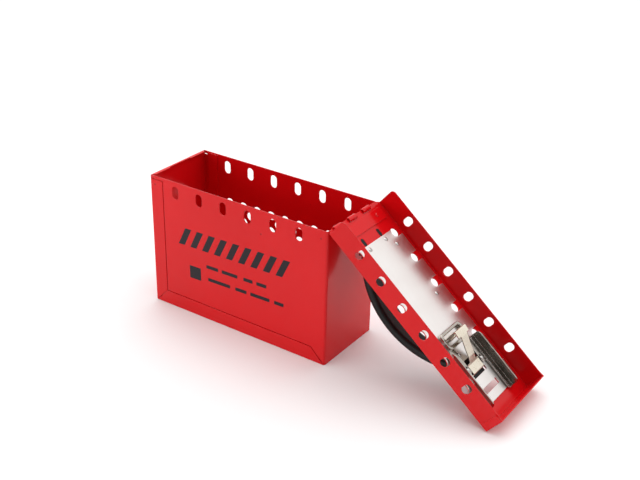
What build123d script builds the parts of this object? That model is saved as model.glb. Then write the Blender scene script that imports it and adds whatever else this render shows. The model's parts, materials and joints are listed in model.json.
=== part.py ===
from build123d import *
import os
from math import asin, atan2, cos, degrees, hypot, sin, sqrt

# Portable group lockout box.  A folded steel box takes six padlocks along each
# long side.  Its lid is hinged at the right-hand end and stands folded right
# over, with its free edge on the surface that the box stands on.
# Units are millimetres.  X runs along the box, Y across it, +Z is up.
# The origin is on the floor, under the middle of the box.

# ---- box ------------------------------------------------------------------
box_length = 228.0
box_width = 88.0
box_height = 152.0
sheet = 1.0                # steel sheet of the box
wall_bend = 2.5            # outside radius where a long wall turns into the end wall
pan_bend = 1.0             # outside radius of the pan's sharper folds
strip = 16.0               # width of the pan's flanges on the long walls
seam_gap = 1.2             # open groove between a flange and the wall's face
bridge = 3.0               # the wall's face passes over the groove at the very top
lap = 10.0                 # how far the wall's lap reaches behind a flange
lap_seat = 3.0             # how far the lap is joined to the back of the face
lap_drop = 1.4             # top of the lap below the rim
end_flange = 12.0          # pan flange standing inside the hinge end wall
catch_deep = 3.6           # inward flange on the left wall that the latch bolts engage
catch_shallow = 2.2
catch_step = 17.5          # half the length of the shallow middle stretch
catch_margin = 0.4

# ---- padlock positions ------------------------------------------------------
lock_count = 6
lock_pitch = 32.0
box_slot_width = 8.5
box_slot_length = 14.6
slot_drop = 12.4           # slot centre below the box's rim
lid_slot_width = 8.5
lid_slot_length = 12.6
top_hole_radius = 5.0
top_hole_y = 32.5

# ---- perforated back wall ----------------------------------------------------
perforation_radius = 5.0
perforation_pitch = 19.3
perforation_columns = 9
perforation_rows = 6
perforation_drop = 54.5    # first row below the rim

# ---- hinge -------------------------------------------------------------------
knuckle_bore = 1.75
knuckle_sheet = 1.0
knuckle_width = 13.0
knuckle_side_gap = 0.5
knuckle_swing_gap = 0.35
knuckle_pitch = 25.0
knuckle_shift = -5.3       # centre of the row of three
knuckle_mouth = 1.3        # open gap where the curl stops short of the wall
hinge_bar = 3.0            # width of the lid's edge that turns in the knuckles
seat_gap = 0.3             # closed lid above the rim

# ---- lid ---------------------------------------------------------------------
lid_overhang = 8.5         # lid longer than the box, for the hinge and the end clearance
lid_depth = 24.0
lid_sheet = 1.0
lid_side_gap = 0.5         # lid flange clear of the box's long wall
lid_bend = 0.8
flange_corner = 4.5
tongue_half = 39.0         # half width of the lid's edge at the hinge
ear_length = 8.0
ear_start = 1.5
ear_sheet = 1.0

# ---- comb liner ----------------------------------------------------------------
liner_start = 30.0
liner_length = 192.0
liner_half = 41.0
liner_sheet = 1.0
comb_notch = 5.0           # half width of each notch, round at its inner end
liner_corner = 5.0
window_start = 175.0       # window for the release lever
window_length = 20.0
window_half = 12.0
key_slot_s = 210.0
key_slot_width = 6.2
key_slot_half = 13.5

# ---- hinge doubler -------------------------------------------------------------
doubler_start = 3.6
doubler_end = 17.0
doubler_half = 38.0
doubler_sheet = 1.2

# ---- rivets --------------------------------------------------------------------
rivet_radius = 1.6
rivet_head = 2.5
rivet_dome = 0.9
hole_gap = 0.05
doubler_rivet_s = 9.7
doubler_rivet_y = 27.0
liner_rivet_s = (44.8, 107.8)
liner_rivet_y = 24.0

# ---- latch ---------------------------------------------------------------------
latch_travel = 2.6
latch_lift = 0.5           # fork above the liner, so that its bolts pass the catch flange
latch_sheet = 1.2
bolt_tip_gap = 0.5
bolt_start = 164.0
bolt_inner = 17.5          # foot of each bolt
bolt_outer = 26.2
bolt_corner = 3.0
bolt_top = 12.5            # depth of the free edge of each bolt's standing wall
bolt_top_corner = 4.0
arm_start = 158.0
arm_inner = 11.4
arm_end = 191.0
rib_width = 2.2
rib_height = 0.7
rib_margin = 1.0
foot_dimple = 1.8          # radius of the pressed feet that slide on the liner
foot_gap = 0.05
ring_s = 152.7
ring_length = 18.6
ring_half = 19.0
ring_band = 3.6
ring_height = 3.9
ring_corner = 4.5
ring_round = 1.2
pin_s = 152.7
pin_depth = 4.45
pin_radius = 1.25
pin_gap = 0.05
pin_overhang = 1.5
clip_radius = 2.1
clip_thickness = 0.6
guide_s = 184.0
guide_y = 13.8
guide_radius = 1.5
guide_gap = 0.1
washer_radius = 2.2
washer_thickness = 0.35

# ---- release lever and thumb button ----------------------------------------------
lever_sheet = 0.95
lever_half = 10.0
strap_half = 5.6           # the lever's narrow middle
lever_foot_half = 10.2
lever_top_depth = 16.3
lever_neck_start = 157.0
lever_neck_end = 182.5
foot_depth = 2.2
foot_s = 193.7
tab_depth = -5.0           # the lever's tab ends this far outside the lid
button_start = 188.0
button_length = 15.0
button_half = 10.9
button_top = -0.6
button_height = 6.4
button_pin_radius = 1.0
button_pin_depth = -2.8    # cross pin's axis outside the lid

# ---- handle ------------------------------------------------------------------------
handle_middle = 105.0
handle_reach = 76.8        # half the span where the handle's centre line meets the lid
handle_rise = 44.0
grip_width = 26.0
grip_thickness = 9.5
strap_width = 15.0
strap_thickness = 2.2
strap_fit = 0.1
boss_width = 31.0
boss_thickness = 13.0
boss_angle = 9.0
foot_plate = 3.4
foot_half = 18.0
foot_corner = 4.0
foot_inner = 11.5          # the foot's plate on the handle's side of the strap
foot_outer = 9.0
prong_s = 25.5
prong_y = 14.0
prong_length = 8.6
prong_width = 4.2
prong_gap = 0.2
hinge_foot_rivet_s = 34.8
hinge_foot_rivet_y = 14.4
latch_foot_rivet_s = 167.5
latch_foot_rivet_y = 8.5

# ---- derived sizes -------------------------------------------------------------------
half_length = box_length / 2
half_width = box_width / 2
lid_length = box_length + lid_overhang
lid_half = half_width + lid_side_gap + lid_sheet
knuckle_radius = knuckle_bore + knuckle_sheet
hinge_x = half_length + knuckle_bore
hinge_z = box_height + seat_gap + lid_sheet / 2
hinge_s = -hinge_bar / 2   # hinge axis along the lid; zero is where its flanges start
lid_reach = lid_length - hinge_s
lid_angle = asin(hinge_z / hypot(lid_reach, lid_sheet / 2)) - atan2(lid_sheet / 2, lid_reach)

lid_along = Vector(cos(lid_angle), 0, -sin(lid_angle))
lid_inward = Vector(sin(lid_angle), 0, cos(lid_angle))
lid_origin = (Vector(hinge_x, 0, hinge_z) - lid_along * hinge_s
              - lid_inward * (lid_sheet / 2))

lock_x = [(i - (lock_count - 1) / 2) * lock_pitch for i in range(lock_count)]
lock_s = [hinge_x + hinge_s - x for x in lock_x]
slot_z = box_height - slot_drop
slot_depth = hinge_z + lid_sheet / 2 - slot_z
knuckle_y = [knuckle_shift + (i - 1) * knuckle_pitch for i in range(3)]
catch_s = hinge_x + hinge_s + half_length - catch_deep
bolt_tip = catch_s - bolt_tip_gap + latch_travel
liner_top = lid_sheet + liner_sheet
latch_bottom = liner_top + latch_lift
latch_top = latch_bottom + latch_sheet
washer_top = latch_top + washer_thickness
handle_radius = (handle_reach ** 2 + handle_rise ** 2) / (2 * handle_rise)
handle_centre = handle_radius - handle_rise
handle_half_angle = degrees(atan2(handle_reach, handle_centre))


def lid_point(s, y, t):
    """A point s along the lid, y across it and t inward from its outer face."""
    return lid_origin + lid_along * s + Vector(0, y, 0) + lid_inward * t


def flat(t, shift=0.0):
    """Plane parallel to the lid's plate: local x is s, local y is y."""
    return Plane(lid_point(shift, 0, t), x_dir=lid_along, z_dir=lid_inward)


def side(y, shift=0.0):
    """Plane along the lid, across its width: local x is s, local y is t."""
    return Plane(lid_point(shift, y, 0), x_dir=lid_along, z_dir=(0, -1, 0))


def across(s):
    """Plane square to the lid's length: local x is y, local y is t."""
    return Plane(lid_point(s, 0, 0), x_dir=(0, 1, 0), z_dir=lid_along)


def drill(plane, points, radius, depth):
    """Cut round holes of the current part, from a plane along its normal."""
    with BuildSketch(plane) as holes:
        with Locations(*points):
            Circle(radius)
    extrude(holes.sketch, amount=depth, mode=Mode.SUBTRACT)


def mirrored(points_s, y):
    """Points at each s, on both sides of the middle."""
    return [(s, sign * y) for s in points_s for sign in (-1, 1)]


def rivets(points, bottom, top, radius, head, dome):
    """Rivets through the lid, from one depth to another, with a domed head at each end."""
    ball = (head ** 2 + dome ** 2) / (2 * dome)
    crown = dome - ball + sqrt(ball ** 2 - (head / 2) ** 2)
    for s, y in points:
        with BuildSketch(side(y, s)) as half:
            with BuildLine():
                Line((0, bottom - dome), (0, top + dome))
                ThreePointArc((0, top + dome), (head / 2, top + crown), (head, top))
                Polyline((head, top), (radius, top), (radius, bottom), (head, bottom))
                ThreePointArc((head, bottom), (head / 2, bottom - crown), (0, bottom - dome))
            make_face()
        revolve(half.sketch, axis=Axis(lid_point(s, y, 0), lid_inward))


all_parts = {}


def keep(name, part):
    part.label = name
    all_parts[name] = part


# ---- box: front wall, hinge end wall and back wall in one folded sheet ---------------
with BuildPart() as box_wrap:
    with BuildSketch() as plan:
        Rectangle(box_length, box_width)
        fillet(plan.vertices().group_by(Axis.X)[-1], wall_bend)
        offset(amount=-sheet, mode=Mode.SUBTRACT)
        with Locations((-half_length, 0)):
            Rectangle(2 * (sheet + 0.2), box_width + 2, mode=Mode.SUBTRACT)
    extrude(amount=box_height)
    face_x = -half_length + strip + seam_gap
    face_z = strip + seam_gap
    lap_top = box_height - lap_drop
    for offset_y, depth in ((half_width, -sheet), (-half_width, sheet)):
        with BuildSketch(Plane.XZ.offset(offset_y)) as flange_zone:
            with BuildLine():
                Polyline((-half_length - 1, -1), (half_length + 1, -1),
                         (half_length - face_z, face_z), (face_x, face_z),
                         (face_x, box_height - bridge), (-half_length - 1, box_height - bridge),
                         close=True)
            make_face()
        extrude(amount=depth, mode=Mode.SUBTRACT)
    for offset_y, depth in ((half_width - sheet, -sheet), (sheet - half_width, sheet)):
        with BuildSketch(Plane.XZ.offset(offset_y)) as lap_band:
            with BuildLine():
                Polyline((face_x - seam_gap - lap, strip - lap), (half_length - sheet, strip - lap),
                         (half_length - sheet, face_z + lap_seat), (face_x + lap_seat, face_z + lap_seat),
                         (face_x + lap_seat, lap_top), (face_x - seam_gap - lap, lap_top), close=True)
            make_face()
        extrude(amount=depth)
    with BuildSketch(Plane.XZ.offset(half_width + 1)) as side_slots:
        with Locations(*[(x, slot_z) for x in lock_x]):
            SlotOverall(box_slot_length, box_slot_width, rotation=90)
    extrude(amount=-box_width - 2, mode=Mode.SUBTRACT)
    with BuildSketch(Plane.XZ.offset(-half_width)) as perforations:
        for row in range(perforation_rows):
            columns = perforation_columns - row % 2
            row_z = box_height - perforation_drop - row * perforation_pitch / 2
            with Locations(*[((i - (columns - 1) / 2) * perforation_pitch, row_z) for i in range(columns)]):
                Circle(perforation_radius)
    extrude(amount=2 * sheet, mode=Mode.SUBTRACT)
    for y in knuckle_y:
        with BuildSketch(Plane.XZ.offset(-y)) as curl:
            with Locations((hinge_x, hinge_z)):
                Circle(knuckle_radius)
            with Locations((half_length - sheet / 2, hinge_z - knuckle_radius)):
                Rectangle(sheet, 2 * knuckle_radius)
            with Locations((hinge_x, hinge_z)):
                Circle(knuckle_bore, mode=Mode.SUBTRACT)
            with Locations((half_length + knuckle_mouth / 2, hinge_z - knuckle_radius)):
                Rectangle(knuckle_mouth, 2 * (knuckle_radius - sheet), mode=Mode.SUBTRACT)
        extrude(amount=knuckle_width / 2, both=True)
keep("box_wrap", box_wrap.part)

# ---- box: floor and left wall in one folded pan, flanged over the long walls ----------
with BuildPart() as box_pan:
    with BuildSketch() as floor:
        with Locations((-sheet / 2, 0)):
            Rectangle(box_length - sheet, box_width)
    extrude(amount=sheet)
    with BuildSketch(Plane.YZ.offset(-half_length)) as left_wall:
        with Locations((0, box_height / 2)):
            Rectangle(box_width, box_height)
    extrude(amount=sheet)
    fillet(box_pan.edges().filter_by(Axis.Y).group_by(Axis.X)[0].group_by(Axis.Z)[0], pan_bend)
    flange_end = half_length - 1.5 * seam_gap
    for offset_y, depth in ((half_width, -sheet), (-half_width, sheet)):
        with BuildSketch(Plane.XZ.offset(offset_y)) as flanges:
            with BuildLine():
                Polyline((-half_length + pan_bend, 0), (flange_end, 0),
                         (flange_end - strip, strip), (-half_length + strip, strip),
                         (-half_length + strip, box_height - bridge - seam_gap),
                         (-half_length, box_height - bridge - seam_gap),
                         (-half_length, pan_bend), close=True)
            make_face()
            with BuildLine():
                Polyline((-half_length + pan_bend, pan_bend), (-half_length + pan_bend + seam_gap, pan_bend),
                         (-half_length + strip + 1 + seam_gap / 2, strip + 1),
                         (-half_length + strip + 1 - seam_gap / 2, strip + 1), close=True)
            make_face(mode=Mode.SUBTRACT)
        extrude(amount=depth)
    with BuildSketch(Plane.YZ.offset(half_length - 2 * sheet)) as inner_flange:
        with Locations((0, end_flange / 2)):
            Rectangle(box_width - 6 * sheet, end_flange)
        fillet(inner_flange.vertices().group_by(Axis.Y)[-1], pan_bend)
    extrude(amount=sheet)
    with BuildSketch(Plane.XY.offset(box_height - sheet)) as catch:
        catch_half = half_width - 2 * sheet - catch_margin
        with BuildLine():
            Polyline((-half_length, -catch_half), (-half_length + catch_deep, -catch_half + 1.5),
                     (-half_length + catch_deep, -catch_step), (-half_length + catch_shallow, -catch_step + 2),
                     (-half_length + catch_shallow, catch_step - 2), (-half_length + catch_deep, catch_step),
                     (-half_length + catch_deep, catch_half - 1.5), (-half_length, catch_half), close=True)
        make_face()
    extrude(amount=sheet)
keep("box_pan", box_pan.part)

# ---- lid: plate, slotted flanges and an end wall with folded ears --------------------
with BuildPart() as lid_shell:
    with BuildSketch(flat(0)) as plate:
        with BuildLine():
            Polyline((2 * hinge_s, -tongue_half), (0, -lid_half), (lid_length, -lid_half),
                     (lid_length, lid_half), (0, lid_half), (2 * hinge_s, tongue_half), close=True)
        make_face()
    extrude(amount=lid_sheet)
    for y in (lid_half, lid_sheet - lid_half):
        with BuildSketch(side(y)) as flange:
            with BuildLine():
                Polyline((0, 0), (lid_length, 0), (lid_length, lid_depth), (0, lid_depth), close=True)
            make_face()
            fillet(flange.vertices().sort_by_distance((0, lid_depth))[0], flange_corner)
        extrude(amount=lid_sheet)
    with BuildSketch(across(lid_length - lid_sheet)) as end_wall:
        with Locations((0, lid_depth / 2)):
            Rectangle(2 * lid_half, lid_depth)
    extrude(amount=lid_sheet)
    long_bends = lid_shell.edges().filter_by(Axis(lid_point(0, 0, 0), lid_along))
    fillet(long_bends.sort_by(Axis(lid_point(0, 0, 0), lid_inward)).group_by(SortBy.LENGTH)[-1][0:2], lid_bend)
    for y in (lid_half + ear_sheet, -lid_half):
        with BuildSketch(side(y)) as ear:
            with BuildLine():
                Polyline((lid_length - ear_length, ear_start), (lid_length, ear_start),
                         (lid_length, lid_depth), (lid_length - ear_length, lid_depth - 1), close=True)
            make_face()
        extrude(amount=ear_sheet)
    with BuildSketch(flat(-1)) as plate_openings:
        for y in knuckle_y:
            slot_start = hinge_s + hinge_bar / 2
            slot_stop = hinge_s + knuckle_radius + knuckle_swing_gap
            with Locations(((slot_start + slot_stop) / 2, y)):
                Rectangle(slot_stop - slot_start, knuckle_width + 2 * knuckle_side_gap)
        with Locations(*mirrored(lock_s, top_hole_y)):
            Circle(top_hole_radius)
        with Locations((window_start + window_length / 2, 0)):
            Rectangle(window_length, 2 * window_half)
        with Locations((key_slot_s, 0)):
            Rectangle(key_slot_width, 2 * key_slot_half)
        with Locations((prong_s, -prong_y), (prong_s, prong_y)):
            SlotOverall(prong_length + 2 * prong_gap, prong_width + 2 * prong_gap)
    extrude(amount=lid_sheet + 2, mode=Mode.SUBTRACT)
    with BuildSketch(side(lid_half + 1)) as flange_slots:
        with Locations(*[(s, slot_depth) for s in lock_s]):
            SlotOverall(lid_slot_length, lid_slot_width, rotation=90)
    extrude(amount=2 * lid_half + 2, mode=Mode.SUBTRACT)
    drill(flat(-1), mirrored([doubler_rivet_s], doubler_rivet_y), rivet_radius + hole_gap, lid_sheet + 2)
    drill(flat(-1), mirrored(liner_rivet_s, liner_rivet_y), rivet_radius + hole_gap, lid_sheet + 2)
    drill(flat(-1), mirrored([hinge_foot_rivet_s], hinge_foot_rivet_y), rivet_radius + hole_gap, lid_sheet + 2)
    drill(flat(-1), mirrored([latch_foot_rivet_s], latch_foot_rivet_y), rivet_radius + hole_gap, lid_sheet + 2)
    drill(flat(-1), mirrored([guide_s], guide_y), guide_radius + hole_gap, lid_sheet + 2)
keep("lid_shell", lid_shell.part)

# ---- doubler that stiffens the lid behind the hinge slots -----------------------------
with BuildPart() as hinge_doubler:
    with BuildSketch(flat(lid_sheet)) as doubler:
        with Locations(((doubler_start + doubler_end) / 2, 0)):
            RectangleRounded(doubler_end - doubler_start, 2 * doubler_half, 1.5)
    extrude(amount=doubler_sheet)
    drill(flat(0), mirrored([doubler_rivet_s], doubler_rivet_y), rivet_radius + hole_gap, 3 * doubler_sheet)
keep("hinge_doubler", hinge_doubler.part)

with BuildPart() as hinge_rivets:
    rivets(mirrored([doubler_rivet_s], doubler_rivet_y), 0, lid_sheet + doubler_sheet,
           rivet_radius, rivet_head, rivet_dome)
keep("hinge_rivets", hinge_rivets.part)

# ---- stainless comb liner, one notch at every padlock position -------------------------
with BuildPart() as comb_liner:
    with BuildSketch(flat(lid_sheet)) as comb:
        with Locations((liner_start + liner_length / 2, 0)):
            Rectangle(liner_length, 2 * liner_half)
        fillet(comb.vertices().group_by(Axis.X)[-1], liner_corner)
        for s, y in mirrored(lock_s, top_hole_y):
            with Locations((s, y)):
                Circle(comb_notch, mode=Mode.SUBTRACT)
            with Locations((s, y + (lid_half if y > 0 else -lid_half) / 2)):
                Rectangle(2 * comb_notch, lid_half, mode=Mode.SUBTRACT)
        with Locations((window_start + window_length / 2, 0)):
            Rectangle(window_length, 2 * window_half, mode=Mode.SUBTRACT)
        with Locations((key_slot_s, 0)):
            Rectangle(key_slot_width, 2 * key_slot_half, mode=Mode.SUBTRACT)
    extrude(amount=liner_sheet)
    drill(flat(0), mirrored(liner_rivet_s, liner_rivet_y), rivet_radius + hole_gap, 2 * liner_top)
    drill(flat(0), mirrored([hinge_foot_rivet_s], hinge_foot_rivet_y), rivet_radius + hole_gap, 2 * liner_top)
    drill(flat(0), mirrored([latch_foot_rivet_s], latch_foot_rivet_y), rivet_radius + hole_gap, 2 * liner_top)
    drill(flat(0), mirrored([guide_s], guide_y), guide_radius + hole_gap, 2 * liner_top)
keep("comb_liner", comb_liner.part)

with BuildPart() as liner_rivets:
    rivets(mirrored(liner_rivet_s, liner_rivet_y), 0, liner_top, rivet_radius, rivet_head, rivet_dome)
keep("liner_rivets", liner_rivets.part)

# ---- latch: a forked slide bolt with a rounded yoke that carries the cross pin ---------
with BuildPart() as latch_fork:
    for height in (ring_height, latch_sheet):
        with BuildSketch(flat(latch_bottom, -latch_travel)) as yoke:
            with Locations((ring_s, 0)):
                RectangleRounded(ring_length, 2 * ring_half, ring_corner)
                RectangleRounded(ring_length - 2 * ring_band, 2 * (ring_half - ring_band),
                                 ring_corner - 2.5, mode=Mode.SUBTRACT)
        extrude(amount=height)
    fillet(latch_fork.faces().sort_by(Axis(lid_point(0, 0, 0), lid_inward))[-1].edges(), ring_round)
    with BuildSketch(flat(latch_bottom, -latch_travel)) as fork:
        for sign in (-1, 1):
            with Locations(((bolt_start + bolt_tip) / 2, sign * (bolt_inner + bolt_outer) / 2)):
                RectangleRounded(bolt_tip - bolt_start, bolt_outer - bolt_inner, bolt_corner)
            with BuildLine():
                Polyline((arm_start, sign * arm_inner), (arm_end - 2, sign * arm_inner),
                         (arm_end, sign * (arm_inner + 2)), (arm_end, sign * (bolt_inner + 1)),
                         (bolt_start + bolt_corner, sign * (ring_half + 1)), (arm_start, sign * ring_half),
                         close=True)
            make_face()
    extrude(amount=latch_sheet)
    with BuildSketch(flat(latch_top, -latch_travel)) as ribs:
        rib_y = bolt_inner + rib_margin + rib_width / 2
        with Locations(((bolt_start + bolt_tip) / 2, -rib_y), ((bolt_start + bolt_tip) / 2, rib_y)):
            SlotOverall(bolt_tip - bolt_start - 3 * rib_margin, rib_width)
    extrude(amount=rib_height)
    for y in (bolt_outer, latch_sheet - bolt_outer):
        with BuildSketch(side(y, -latch_travel)) as bolt_wall:
            with Locations(((bolt_start + bolt_tip) / 2, (latch_bottom + bolt_top) / 2)):
                Rectangle(bolt_tip - bolt_start, bolt_top - latch_bottom)
            fillet(bolt_wall.vertices().group_by(Axis.Y)[-1], bolt_top_corner)
        extrude(amount=latch_sheet)
    with BuildSketch(flat(liner_top + foot_gap, -latch_travel)) as feet:
        with Locations(*mirrored([bolt_start + 14, bolt_tip - 10], (bolt_inner + bolt_outer) / 2)):
            Circle(foot_dimple)
    extrude(amount=latch_lift)
    with BuildSketch(flat(liner_top, -latch_travel)) as guide_slots:
        with Locations(*mirrored([guide_s + latch_travel / 2], guide_y)):
            SlotOverall(latch_travel + 2 * (guide_radius + guide_gap), 2 * (guide_radius + guide_gap))
    extrude(amount=2 * ring_height, mode=Mode.SUBTRACT)
    with BuildSketch(side(0, -latch_travel)) as pin_bore:
        with Locations((pin_s, pin_depth)):
            Circle(pin_radius + pin_gap)
    extrude(amount=ring_half + 1, both=True, mode=Mode.SUBTRACT)
keep("latch_fork", latch_fork.part)

with BuildPart() as latch_pin:
    with BuildSketch(side(0, -latch_travel)) as pin_section:
        with Locations((pin_s, pin_depth)):
            Circle(pin_radius)
    extrude(amount=ring_half + pin_overhang, both=True)
    chamfer(latch_pin.edges().group_by(Axis.Y)[0] + latch_pin.edges().group_by(Axis.Y)[-1], 0.3)
keep("latch_pin", latch_pin.part)

with BuildPart() as pin_clips:
    for y in (ring_half + hole_gap + clip_thickness, -ring_half - hole_gap):
        with BuildSketch(side(y, -latch_travel)) as clip:
            with Locations((pin_s, pin_depth)):
                Circle(clip_radius)
                Circle(pin_radius + hole_gap, mode=Mode.SUBTRACT)
            with Locations((pin_s + clip_radius, pin_depth)):
                Rectangle(2 * clip_radius, 1.6 * pin_radius, mode=Mode.SUBTRACT)
        extrude(amount=clip_thickness)
keep("pin_clips", pin_clips.part)

with BuildPart() as guide_rivets:
    rivets(mirrored([guide_s], guide_y), 0, washer_top + foot_gap, guide_radius, washer_radius, rivet_dome)
keep("guide_rivets", guide_rivets.part)

with BuildPart() as guide_washers:
    with BuildSketch(flat(latch_top)) as washer:
        with Locations(*mirrored([guide_s], guide_y)):
            Circle(washer_radius)
            Circle(guide_radius + guide_gap, mode=Mode.SUBTRACT)
    extrude(amount=washer_thickness)
keep("guide_washers", guide_washers.part)

# ---- release lever: curled on the pin, bent over, and passed out through the window ----
with BuildPart() as release_lever:
    curl_middle = pin_radius + pin_gap + lever_sheet / 2
    with BuildSketch(side(0, -latch_travel)) as lever:
        with BuildLine():
            FilletPolyline((pin_s - curl_middle, pin_depth), (pin_s - curl_middle - 0.9, lever_top_depth),
                           (lever_neck_start + 1, lever_top_depth - 1.2), (168.0, 10.4), (177.5, 6.6),
                           (184.0, foot_depth + lever_sheet / 2), (foot_s, foot_depth + lever_sheet / 2),
                           (foot_s, tab_depth), radius=1.2)
        trace(line_width=lever_sheet)
        with Locations((pin_s, pin_depth)):
            Circle(curl_middle + lever_sheet / 2)
            Circle(pin_radius + pin_gap, mode=Mode.SUBTRACT)
            with PolarLocations(curl_middle, 1, start_angle=115):
                Rectangle(1.6, 0.9, mode=Mode.SUBTRACT)
    extrude(amount=lever_foot_half, both=True)
    with BuildSketch(flat(0, -latch_travel)) as waist:
        for sign in (-1, 1):
            with Locations(((lever_neck_start + lever_neck_end) / 2, sign * (strap_half + 5))):
                Rectangle(lever_neck_end - lever_neck_start, 10)
            with Locations((lever_neck_start - 8, sign * (lever_half + 2))):
                Rectangle(20, 4)
    extrude(amount=lid_depth, mode=Mode.SUBTRACT)
    drill(across(button_start - 1 - latch_travel), [(0, button_pin_depth)],
          button_pin_radius + hole_gap, button_length + 2)
keep("release_lever", release_lever.part)

with BuildPart() as thumb_button:
    with BuildSketch(flat(button_top - button_height, -latch_travel)) as pad:
        with Locations((button_start + button_length / 2, 0)):
            RectangleRounded(button_length, 2 * button_half, 3)
    extrude(amount=button_height)
    fillet(thumb_button.faces().sort_by(Axis(lid_point(0, 0, 0), lid_inward))[0].edges(), 1.2)
    with BuildSketch(side(0, -latch_travel)) as grooves:
        with Locations(*[(button_start + 3.5 + 2.7 * i, button_top - button_height) for i in range(4)]):
            Circle(0.6)
    extrude(amount=button_half - 3, both=True, mode=Mode.SUBTRACT)
    with BuildSketch(flat(tab_depth - hole_gap, -latch_travel)) as pocket:
        with Locations((foot_s, 0)):
            Rectangle(lever_sheet + 2 * hole_gap, 2 * (lever_foot_half + hole_gap))
    extrude(amount=button_height, mode=Mode.SUBTRACT)
    drill(across(button_start - 1 - latch_travel), [(0, button_pin_depth)],
          button_pin_radius + hole_gap, button_length + 2)
keep("thumb_button", thumb_button.part)

with BuildPart() as button_pin:
    with BuildSketch(across(button_start + 1 - latch_travel)) as cross_pin:
        with Locations((0, button_pin_depth)):
            Circle(button_pin_radius)
    extrude(amount=button_length - 2)
keep("button_pin", button_pin.part)

# ---- handle: a bow with a steel strap inside, held by a moulded foot at each end -------
strap_angle = handle_half_angle - 3


def bow(width, thickness, corner, start, sweep_angle, mode=Mode.ADD):
    """Sweep a rounded section along part of the handle's centre line."""
    with BuildLine(side(0)) as line:
        CenterArc((handle_middle, handle_centre), handle_radius, start, sweep_angle)
    with BuildSketch(Plane(line.line @ 0, x_dir=(0, 1, 0), z_dir=line.line % 0)) as section:
        RectangleRounded(width, thickness, corner)
    sweep(section.sketch, path=line.line, mode=mode)


def strap_channel():
    """Cut the way of the steel strap through the current part."""
    bow(strap_width + 2 * strap_fit, strap_thickness + 2 * strap_fit, 0.8,
        270 - strap_angle, 2 * strap_angle, Mode.SUBTRACT)


with BuildPart() as handle_strap:
    bow(strap_width, strap_thickness, 0.8, 270 - strap_angle, 2 * strap_angle)
keep("handle_strap", handle_strap.part)

grip_angle = handle_half_angle - boss_angle
with BuildPart() as handle_grip:
    bow(grip_width, grip_thickness, 4, 270 - grip_angle, 2 * grip_angle)
    strap_channel()
keep("handle_grip", handle_grip.part)


def handle_foot(start_angle, s_from, s_to, rivet_s, rivet_y):
    """Foot plate on the lid with a boss that the strap's end sits in."""
    with BuildSketch(flat(-foot_plate)) as base:
        with Locations(((s_from + s_to) / 2, 0)):
            RectangleRounded(s_to - s_from, 2 * foot_half, foot_corner)
    extrude(base.sketch, amount=foot_plate)
    bow(boss_width, boss_thickness, 4.5, start_angle, boss_angle + 8)
    with BuildSketch(flat(0)) as beyond:
        with Locations((handle_middle, 0)):
            Rectangle(3 * handle_middle, 4 * foot_half)
    extrude(beyond.sketch, amount=lid_depth, mode=Mode.SUBTRACT)
    strap_channel()
    bow(grip_width + 0.4, grip_thickness + 0.4, 4, 270 - grip_angle - 0.2,
        2 * grip_angle + 0.4, Mode.SUBTRACT)
    drill(flat(-foot_plate - 1), mirrored([rivet_s], rivet_y), rivet_radius + hole_gap, foot_plate + 2)
    drill(flat(-foot_plate), mirrored([rivet_s], rivet_y), rivet_head + 0.3, -lid_depth)


hinge_foot_s = handle_middle - handle_reach
latch_foot_s = handle_middle + handle_reach
with BuildPart() as handle_foot_hinge_end:
    handle_foot(270 - handle_half_angle - 8, hinge_foot_s - foot_outer, hinge_foot_s + foot_inner,
                hinge_foot_rivet_s, hinge_foot_rivet_y)
    with BuildSketch(flat(-foot_plate / 2)) as prongs:
        with Locations((prong_s, -prong_y), (prong_s, prong_y)):
            SlotOverall(prong_length, prong_width)
    extrude(amount=foot_plate / 2 + lid_sheet - 0.1)
keep("handle_foot_hinge_end", handle_foot_hinge_end.part)

latch_foot_end = button_start - latch_travel - 0.8
with BuildPart() as handle_foot_latch_end:
    handle_foot(270 + handle_half_angle - boss_angle, latch_foot_s - foot_inner - 7, latch_foot_end,
                latch_foot_rivet_s, latch_foot_rivet_y)
    with BuildSketch(flat(-foot_plate - 40)) as trim:
        with Locations((latch_foot_end + 20, 0)):
            Rectangle(40, 4 * foot_half)
    extrude(amount=60, mode=Mode.SUBTRACT)
    drill(flat(0), mirrored([guide_s], guide_y), washer_radius + 0.3, -2 * rivet_dome)
keep("handle_foot_latch_end", handle_foot_latch_end.part)

with BuildPart() as handle_rivets:
    rivets(mirrored([hinge_foot_rivet_s], hinge_foot_rivet_y), -foot_plate, liner_top,
           rivet_radius, rivet_head, rivet_dome)
    rivets(mirrored([latch_foot_rivet_s], latch_foot_rivet_y), -foot_plate, liner_top,
           rivet_radius, rivet_head, rivet_dome)
keep("handle_rivets", handle_rivets.part)

os.makedirs("parts", exist_ok=True)
for part_name, part in all_parts.items():
    export_step(part, f"parts/{part_name}.step")
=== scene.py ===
import json
from math import atan2, cos, radians, sin

import bmesh
import bpy
from mathutils import Matrix, Vector


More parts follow.
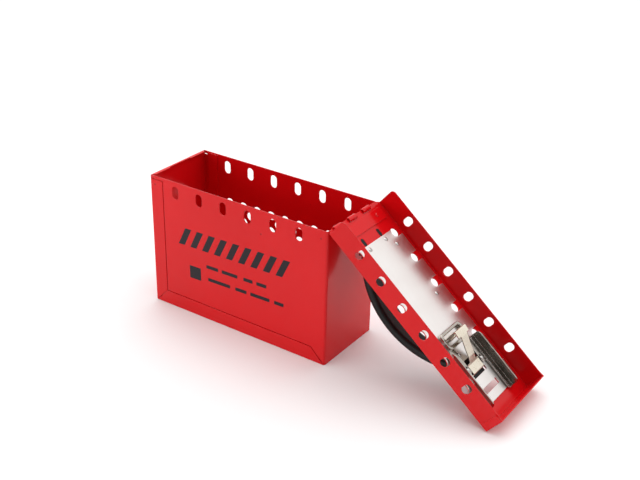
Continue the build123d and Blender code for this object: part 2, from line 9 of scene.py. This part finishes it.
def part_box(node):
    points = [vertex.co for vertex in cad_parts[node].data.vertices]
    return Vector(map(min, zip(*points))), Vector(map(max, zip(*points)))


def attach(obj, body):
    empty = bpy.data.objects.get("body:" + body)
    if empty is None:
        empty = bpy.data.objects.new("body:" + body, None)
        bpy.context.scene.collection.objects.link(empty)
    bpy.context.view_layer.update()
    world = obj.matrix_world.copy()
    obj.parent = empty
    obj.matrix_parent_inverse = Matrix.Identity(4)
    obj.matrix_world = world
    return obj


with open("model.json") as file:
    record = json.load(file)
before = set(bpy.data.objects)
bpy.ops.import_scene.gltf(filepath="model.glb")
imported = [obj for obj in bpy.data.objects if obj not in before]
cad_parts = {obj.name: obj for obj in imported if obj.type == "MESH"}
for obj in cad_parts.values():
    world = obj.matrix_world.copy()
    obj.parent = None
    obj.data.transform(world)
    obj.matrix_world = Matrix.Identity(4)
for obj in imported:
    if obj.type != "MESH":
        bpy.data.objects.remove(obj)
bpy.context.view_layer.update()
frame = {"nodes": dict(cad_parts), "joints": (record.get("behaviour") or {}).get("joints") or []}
nodes = frame["nodes"]
scene = bpy.context.scene

# ---- directions and places on the object ---------------------------------------
slide = next(j for j in frame["joints"] if j["name"] == "latch_slide")
along = Vector(slide["axis"])  # down the lid's length, as it leans at rest


weld_spots = [(x * 0.001, y * 0.001, z * 0.001)
              for y in (-44.0, 44.0) for x, z in ((-108.4, 142.4), (33.3, 125.8), (106.5, 143.0))]


# ---- node materials ------------------------------------------------------------
class Shade:
    """A small helper for building one procedural material."""

    def __init__(self, name):
        self.material = bpy.data.materials.new(name)
        self.material.use_nodes = True
        self.tree = self.material.node_tree
        self.tree.nodes.clear()
        self.surface = self.node("ShaderNodeBsdfPrincipled")
        out = self.node("ShaderNodeOutputMaterial")
        self.link(self.surface.outputs[0], out.inputs[0])
        self.place = self.node("ShaderNodeTexCoord").outputs["Object"]

    def node(self, kind, **values):
        made = self.tree.nodes.new(kind)
        for key, value in values.items():
            setattr(made, key, value)
        return made

    def link(self, a, b):
        self.tree.links.new(a, b)

    def feed(self, socket, value):
        if isinstance(value, bpy.types.NodeSocket):
            self.link(value, socket)
        else:
            socket.default_value = value

    def math(self, operation, a, b=0.0, clamp=False):
        made = self.node("ShaderNodeMath", operation=operation, use_clamp=clamp)
        self.feed(made.inputs[0], a)
        self.feed(made.inputs[1], b)
        return made.outputs[0]

    def noise(self, scale, detail=2.0, rough=0.5, stretch=None):
        place = self.place
        if stretch:
            mapped = self.node("ShaderNodeMapping", vector_type="TEXTURE")
            self.link(place, mapped.inputs["Vector"])
            mapped.inputs["Rotation"].default_value = (0.0, atan2(-along.z, along.x), 0.0)
            mapped.inputs["Scale"].default_value = (stretch, 1.0, 1.0)
            place = mapped.outputs[0]
        made = self.node("ShaderNodeTexNoise")
        self.link(place, made.inputs["Vector"])
        made.inputs["Scale"].default_value = scale
        made.inputs["Detail"].default_value = detail
        made.inputs["Roughness"].default_value = rough
        return made.outputs[0]

    def span(self, value, from_low, from_high, to_low=0.0, to_high=1.0, smooth=False):
        made = self.node("ShaderNodeMapRange", clamp=True)
        if smooth:
            made.interpolation_type = "SMOOTHSTEP"
        self.feed(made.inputs["Value"], value)
        for name, number in (("From Min", from_low), ("From Max", from_high),
                             ("To Min", to_low), ("To Max", to_high)):
            made.inputs[name].default_value = number
        return made.outputs[0]

    def mix(self, factor, a, b):
        made = self.node("ShaderNodeMix", data_type="RGBA")
        self.feed(made.inputs[0], factor)
        for socket, value in ((made.inputs[6], a), (made.inputs[7], b)):
            self.feed(socket, (*value, 1.0) if isinstance(value, tuple) else value)
        return made.outputs[2]

    def edges(self, radius):
        """Rounded normals at the edges, and a mask that is 1 where the surface turns."""
        rounded = self.node("ShaderNodeBevel", samples=6)
        rounded.inputs["Radius"].default_value = radius
        flat = self.node("ShaderNodeNewGeometry").outputs["Normal"]
        dot = self.node("ShaderNodeVectorMath", operation="DOT_PRODUCT")
        self.link(rounded.outputs[0], dot.inputs[0])
        self.link(flat, dot.inputs[1])
        return rounded.outputs[0], self.span(dot.outputs["Value"], 0.995, 0.90)

    def bump(self, height, distance, normal=None, strength=1.0):
        made = self.node("ShaderNodeBump")
        self.link(height, made.inputs["Height"])
        made.inputs["Distance"].default_value = distance
        made.inputs["Strength"].default_value = strength
        if normal is not None:
            self.link(normal, made.inputs["Normal"])
        return made.outputs[0]

    def finish(self, colour, metal, rough, normal):
        inputs = self.surface.inputs
        self.feed(inputs["Base Color"], (*colour, 1.0) if isinstance(colour, tuple) else colour)
        self.feed(inputs["Metallic"], metal)
        self.feed(inputs["Roughness"], rough)
        self.link(normal, inputs["Normal"])
        return self.material


def red_coat():
    """Glossy powder coat with orange peel, pressed weld spots darkened with painted shade, and
    slightly thin edges.
    """
    m = Shade("red_powder_coat")
    normal, edge = m.edges(0.0006)
    patch = m.noise(9.0, 3.0)
    fine = m.noise(900.0, 2.0)
    peel = m.noise(300.0, 1.0, 0.4)
    scuff = m.span(m.noise(60.0, 6.0, 0.75), 0.62, 0.80)
    base = m.mix(m.span(patch, 0.35, 0.65), (0.640, 0.0032, 0.0055), (0.690, 0.0050, 0.0080))
    base = m.mix(m.math("MULTIPLY", scuff, 0.06), base, (0.55, 0.06, 0.05))
    base = m.mix(m.math("MULTIPLY", edge, 0.12), base, (0.74, 0.10, 0.09))
    dents_and_shade = None
    for spot in weld_spots:
        away = m.node("ShaderNodeVectorMath", operation="DISTANCE")
        m.link(m.place, away.inputs[0])
        away.inputs[1].default_value = spot
        dent_and_shade = m.span(away.outputs["Value"], 0.0, 0.0017, 0.0, 1.0, smooth=True)
        dents_and_shade = dent_and_shade if dents_and_shade is None else m.math("MINIMUM", dents_and_shade, dent_and_shade)
    # darkest at the centre of each weld dent: painted shade in the dimple, on top of the bumped dent
    base = m.mix(dents_and_shade, (0.30, 0.002, 0.003), base)
    rough = m.math("ADD", m.span(fine, 0.3, 0.7, 0.13, 0.16), m.math("MULTIPLY", scuff, 0.10))
    height = m.bump(peel, 0.000008, m.bump(dents_and_shade, 0.0003, normal))
    m.surface.inputs["Specular IOR Level"].default_value = 0.24
    return m.finish(base, 0.0, rough, height)


def stainless():
    """Bright rolled stainless sheet with fine grain along the lid and faint smears."""
    m = Shade("stainless_sheet")
    normal, edge = m.edges(0.0003)
    grain = m.noise(500.0, 2.0, 0.5, stretch=60.0)
    smear = m.noise(22.0, 3.0, 0.5)
    base = m.mix(m.span(smear, 0.35, 0.7), (0.74, 0.70, 0.675), (0.79, 0.765, 0.745))
    # edges lightened towards near white: a painted highlight along the sheet's edges
    base = m.mix(m.math("MULTIPLY", edge, 0.4), base, (0.93, 0.93, 0.92))
    rough = m.math("ADD", m.span(grain, 0.3, 0.7, 0.27, 0.32), m.span(smear, 0.4, 0.75, 0.0, 0.05))
    return m.finish(base, 1.0, rough, m.bump(grain, 0.000002, normal, 0.5))


def nickel():
    """Bright plated steel, a little darker in patches, with a painted highlight along the edges."""
    m = Shade("nickel_plate")
    normal, edge = m.edges(0.0005)
    patch = m.noise(45.0, 4.0, 0.6)
    fine = m.noise(1500.0, 2.0)
    base = m.mix(m.span(patch, 0.35, 0.65), (0.36, 0.325, 0.285), (0.46, 0.42, 0.38))
    # edges lightened towards pale grey: a painted highlight on the rims
    base = m.mix(m.math("MULTIPLY", edge, 0.7), base, (0.85, 0.83, 0.80))
    rough = m.math("ADD", m.span(patch, 0.35, 0.65, 0.13, 0.22), m.math("MULTIPLY", fine, 0.04))
    return m.finish(base, 1.0, rough, m.bump(patch, 0.00008, normal, 0.5))


def cream_zinc():
    """Yellowish passivated zinc on the bent lever."""
    m = Shade("passivated_zinc")
    normal, edge = m.edges(0.0003)
    patch = m.noise(70.0, 4.0, 0.6)
    grain = m.noise(1200.0, 2.0)
    base = m.mix(m.span(patch, 0.35, 0.65), (0.68, 0.61, 0.50), (0.76, 0.70, 0.59))
    # edges lightened towards pale cream: a painted highlight along the lever's edges
    base = m.mix(m.math("MULTIPLY", edge, 0.5), base, (0.93, 0.90, 0.84))
    rough = m.math("ADD", m.span(grain, 0.3, 0.7, 0.24, 0.32), m.span(patch, 0.4, 0.7, 0.0, 0.06))
    return m.finish(base, 1.0, rough, m.bump(grain, 0.00001, normal, 0.6))


def rivet_steel():
    """Plated fastener heads with a little dirt."""
    m = Shade("plated_fasteners")
    normal, edge = m.edges(0.0002)
    patch = m.noise(260.0, 3.0)
    base = m.mix(m.span(patch, 0.35, 0.7), (0.46, 0.44, 0.42), (0.60, 0.58, 0.56))
    rough = m.span(patch, 0.3, 0.7, 0.24, 0.36)
    return m.finish(base, 1.0, rough, m.bump(patch, 0.00003, normal, 0.6))


def black_moulding():
    """Black moulded plastic with a fine pebbled grain and rubbed high spots."""
    m = Shade("black_moulding")
    normal, edge = m.edges(0.0006)
    grain = m.node("ShaderNodeTexVoronoi")
    m.link(m.place, grain.inputs["Vector"])
    grain.inputs["Scale"].default_value = 900.0
    rub = m.span(m.noise(60.0, 4.0, 0.65), 0.5, 0.75)
    base = m.mix(m.math("MULTIPLY", rub, 0.5), (0.004, 0.004, 0.004), (0.012, 0.012, 0.012))
    # edges lightened a little: a painted highlight on the moulding's rims
    base = m.mix(m.math("MULTIPLY", edge, 0.25), base, (0.03, 0.03, 0.03))
    m.surface.inputs["Specular IOR Level"].default_value = 0.3
    rough = m.math("ADD", m.span(grain.outputs["Distance"], 0.0, 0.8, 0.42, 0.52),
                   m.math("MULTIPLY", rub, -0.08))
    return m.finish(base, 0.0, rough, m.bump(grain.outputs["Distance"], 0.00012, normal))


def black_paint():
    """Smooth black paint on the handle's steel strap."""
    m = Shade("black_paint")
    normal, edge = m.edges(0.0003)
    fine = m.noise(500.0, 3.0)
    # edges lightened to grey: a painted highlight along the strap's edges
    base = m.mix(m.math("MULTIPLY", edge, 0.5), (0.018, 0.018, 0.019), (0.10, 0.10, 0.10))
    return m.finish(base, 0.0, m.span(fine, 0.3, 0.7, 0.28, 0.38), m.bump(fine, 0.00002, normal))


red = red_coat()
steel = stainless()
plate = nickel()
zinc = cream_zinc()
fastener = rivet_steel()
moulding = black_moulding()
paint = black_paint()

finishes = {
    "box_wrap": red, "box_pan": red, "lid_shell": red, "hinge_doubler": red, "hinge_rivets": red,
    "comb_liner": steel, "liner_rivets": fastener,
    "handle_grip": moulding, "handle_strap": paint,
    "handle_foot_hinge_end": moulding, "handle_foot_latch_end": moulding, "handle_rivets": fastener,
    "latch_fork": plate, "latch_pin": fastener, "pin_clips": fastener,
    "guide_rivets": fastener, "guide_washers": fastener,
    "release_lever": zinc, "thumb_button": moulding, "button_pin": fastener,
}
for name, material in finishes.items():
    mesh = nodes[name].data
    mesh.materials.clear()
    mesh.materials.append(material)


# ---- printing on the front wall -----------------------------------------------------
def print_ink():
    """Flat black screen ink, a little thin in places."""
    m = Shade("screen_ink")
    thin = m.span(m.noise(220.0, 5.0, 0.7), 0.45, 0.8)
    base = m.mix(m.math("MULTIPLY", thin, 0.5), (0.008, 0.006, 0.010), (0.030, 0.012, 0.015))
    normal = m.bump(m.noise(600.0, 2.0), 0.00001)
    m.surface.inputs["Specular IOR Level"].default_value = 0.25
    return m.finish(base, 0.0, m.span(thin, 0.0, 1.0, 0.40, 0.55), normal)


def printed(name, shapes, material):
    """Thin flat shapes on the front wall, each a list of corners in millimetres."""
    mesh = bpy.data.meshes.new(name)
    build = bmesh.new()
    face_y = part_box("box_wrap")[0].y - 0.00004
    for corners in shapes:
        build.faces.new([build.verts.new((x * 0.001, face_y, z * 0.001)) for x, z in corners])
    build.to_mesh(mesh)
    build.free()
    mesh.materials.append(material)
    made = bpy.data.objects.new(name, mesh)
    scene.collection.objects.link(made)
    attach(made, "box")
    return made


def bar(x0, x1, z0, z1, slant=0.0):
    """A bar that climbs gently to the right, as the whole print does."""
    lift = 0.026  # slope of the print
    corners = ((x0, z0), (x1, z0), (x1 + slant, z1), (x0 + slant, z1))
    return [(x, z + lift * x) for x, z in corners]


ink = print_ink()
stripe_start, stripe_pitch, stripe_width = -78.0, 16.2, 8.4
stripe_left = [stripe_start + stripe_pitch * i for i in range(9)]
stripes = [bar(x, x + stripe_width, 83.5, 104.0, slant=10.0) for x in stripe_left]
printed("print_hazard_stripes", stripes, ink)
lines = [bar(-63.5, -48.0, 46.0, 61.0)]
for x0, x1 in ((-40, -24), (-19, 2), (10, 22), (27, 40)):
    lines.append(bar(x0, x1, 64.0, 68.0))
for x0, x1 in ((-38, -8), (-1, 14), (19, 44), (50, 62)):
    lines.append(bar(x0, x1, 49.0, 53.0))
printed("print_plain_marks", lines, ink)

# ---- floor, backdrop and light ---------------------------------------------------
floor_shade = Shade("pale_floor")
floor_mark = floor_shade.noise(3.0, 3.0)
floor_base = floor_shade.mix(floor_mark, (0.92, 0.92, 0.92), (0.95, 0.95, 0.95))
floor_fine = floor_shade.noise(300.0, 2.0)
floor_material = floor_shade.finish(floor_base, 0.0, floor_shade.span(floor_fine, 0.3, 0.7, 0.7, 0.8),
                                    floor_shade.bump(floor_fine, 0.00002))
floor_size, floor_drop = 60.0, 0.0002
bpy.ops.mesh.primitive_plane_add(size=floor_size, location=(0, 0, -floor_drop))
floor = bpy.context.object
floor.name = "floor"
floor.data.materials.append(floor_material)

world = bpy.data.worlds.new("studio")
scene.world = world
world.use_nodes = True
sky = world.node_tree
toward = sky.nodes.new("ShaderNodeTexCoord")
facing = sky.nodes.new("ShaderNodeVectorMath")
facing.operation = "DOT_PRODUCT"
brightest_sky = Vector((0.05, 0.62, 0.78)).normalized()
facing.inputs[1].default_value = brightest_sky
sky.links.new(toward.outputs["Generated"], facing.inputs[0])
strength = sky.nodes.new("ShaderNodeMapRange")
strength.interpolation_type = "SMOOTHSTEP"
for name, number in (("From Min", -0.3), ("From Max", 0.75), ("To Min", 0.06), ("To Max", 1.2)):
    strength.inputs[name].default_value = number
sky.links.new(facing.outputs["Value"], strength.inputs["Value"])
sky.nodes["Background"].inputs[0].default_value = (1.0, 1.0, 1.0, 1.0)
sky.links.new(strength.outputs[0], sky.nodes["Background"].inputs[1])


def soft_box(name, place, target, width, height, power):
    """A rectangular area light at a place, turned to a target."""
    light = bpy.data.lights.new(name, "AREA")
    light.shape = "RECTANGLE"
    light.size, light.size_y, light.energy = width, height, power
    holder = bpy.data.objects.new(name, light)
    scene.collection.objects.link(holder)
    holder.location = place
    holder.rotation_euler = (Vector(target) - Vector(place)).to_track_quat("-Z", "Y").to_euler()


soft_box("key", place=(-1.0, -1.8, 0.5), target=(0.05, 0, 0.08), width=1.8, height=0.8, power=17)
soft_box("top", place=(-0.1, 0.3, 1.9), target=(0.05, 0, 0.05), width=2.2, height=1.8, power=13)

# ---- camera -----------------------------------------------------------------------
camera_place = (0.62405, -0.81081, 0.61323)
lens_mm = 60.53
turn, rise, roll = radians(34.083), radians(27.008), radians(1.321)

camera_data = bpy.data.cameras.new("camera")
camera_data.sensor_width = 36.0
camera_data.lens = lens_mm
camera_data.clip_start = 0.01
camera_data.clip_end = 50.0
camera = bpy.data.objects.new("camera", camera_data)
scene.collection.objects.link(camera)
scene.camera = camera
forward = Vector((-sin(turn) * cos(rise), cos(turn) * cos(rise), -sin(rise)))
right = Vector((cos(turn), sin(turn), 0))
up = right.cross(forward)
right, up = right * cos(roll) + up * sin(roll), up * cos(roll) - right * sin(roll)
rows = [(right[i], up[i], -forward[i], camera_place[i]) for i in range(3)]
camera.matrix_world = Matrix((*rows, (0, 0, 0, 1)))

scene.view_settings.view_transform = "Standard"
